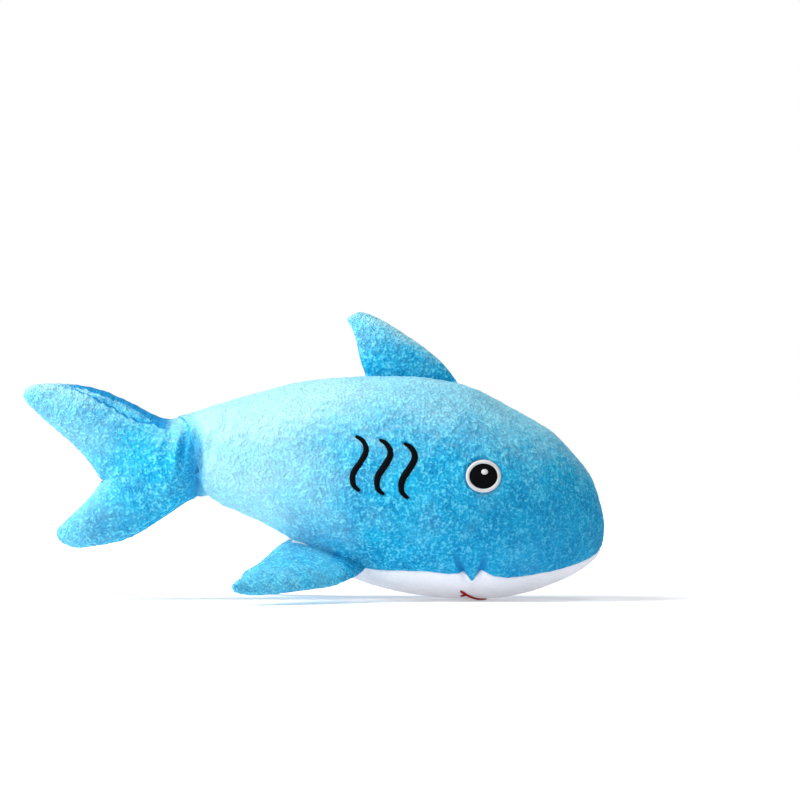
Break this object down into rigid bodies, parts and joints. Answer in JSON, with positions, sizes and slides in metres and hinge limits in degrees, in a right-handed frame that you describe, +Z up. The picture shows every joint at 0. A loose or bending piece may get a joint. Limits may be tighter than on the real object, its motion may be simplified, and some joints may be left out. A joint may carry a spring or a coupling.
{
  "type": "plush toy shark",
  "caption": "Stuffed plush shark with a blue back, a white belly, embroidered eyes, gills and mouth, and padded fins and tail that bend where they are sewn on.",
  "frame": {"origin": "on the floor, under the middle of the whole toy's bounding box", "axes": "+X towards the nose, +Z up, the shark's right side towards -Y; symmetric about the XZ plane"},
  "size_m": [0.3, 0.1764, 0.1489],
  "materials": {
    "blue_plush": "short-pile plush, soft sheen",
    "white_plush": "smooth short-pile plush",
    "polyester_fill": "loose fibre",
    "white_thread": "satin stitch",
    "black_thread": "satin stitch",
    "red_thread": "satin stitch"
  },
  "bodies": {
    "body": {"right_side_panel": "blue_plush", "left_side_panel": "blue_plush", "belly_panel": "white_plush", "body_stuffing": "polyester_fill", "mouth_stitching": "red_thread", "right_gill_stitching": "black_thread", "right_eye_white": "white_thread", "right_pupil": "black_thread", "right_eye_highlight": "white_thread", "left_gill_stitching": "black_thread", "left_eye_white": "white_thread", "left_pupil": "black_thread", "left_eye_highlight": "white_thread"},
    "tail": {"right_tail_panel": "blue_plush", "left_tail_panel": "blue_plush", "tail_stuffing": "polyester_fill"},
    "dorsal_fin": {"right_dorsal_panel": "blue_plush", "left_dorsal_panel": "blue_plush", "dorsal_stuffing": "polyester_fill"},
    "right_pectoral_fin": {"right_pectoral_upper_panel": "blue_plush", "right_pectoral_lower_panel": "blue_plush", "right_pectoral_stuffing": "polyester_fill"},
    "left_pectoral_fin": {"left_pectoral_upper_panel": "blue_plush", "left_pectoral_lower_panel": "blue_plush", "left_pectoral_stuffing": "polyester_fill"}
  },
  "joints": [
    {"name": "tail_swing", "type": "hinge", "parent": "body", "child": "tail", "pos_m": [-0.058, 0, 0.0755], "axis": [0, 0, 1], "range_deg": [-30, 30], "stiffness_Nm_per_rad": 0.06},
    {"name": "dorsal_fin_flop", "type": "hinge", "parent": "body", "child": "dorsal_fin", "pos_m": [0.0468, 0, 0.1212], "axis": [0.9968, 0, -0.0802], "range_deg": [-40, 40], "stiffness_Nm_per_rad": 0.03},
    {"name": "right_pectoral_flap", "type": "hinge", "parent": "body", "child": "right_pectoral_fin", "pos_m": [0.0075, -0.0235, 0.017], "axis": [-0.8953, 0.2984, 0.3306], "range_deg": [-35, 30], "stiffness_Nm_per_rad": 0.25},
    {"name": "left_pectoral_flap", "type": "hinge", "parent": "body", "child": "left_pectoral_fin", "pos_m": [0.0075, 0.0235, 0.017], "axis": [0.8953, 0.2984, -0.3306], "range_deg": [-35, 30], "stiffness_Nm_per_rad": 0.25}
  ]
}
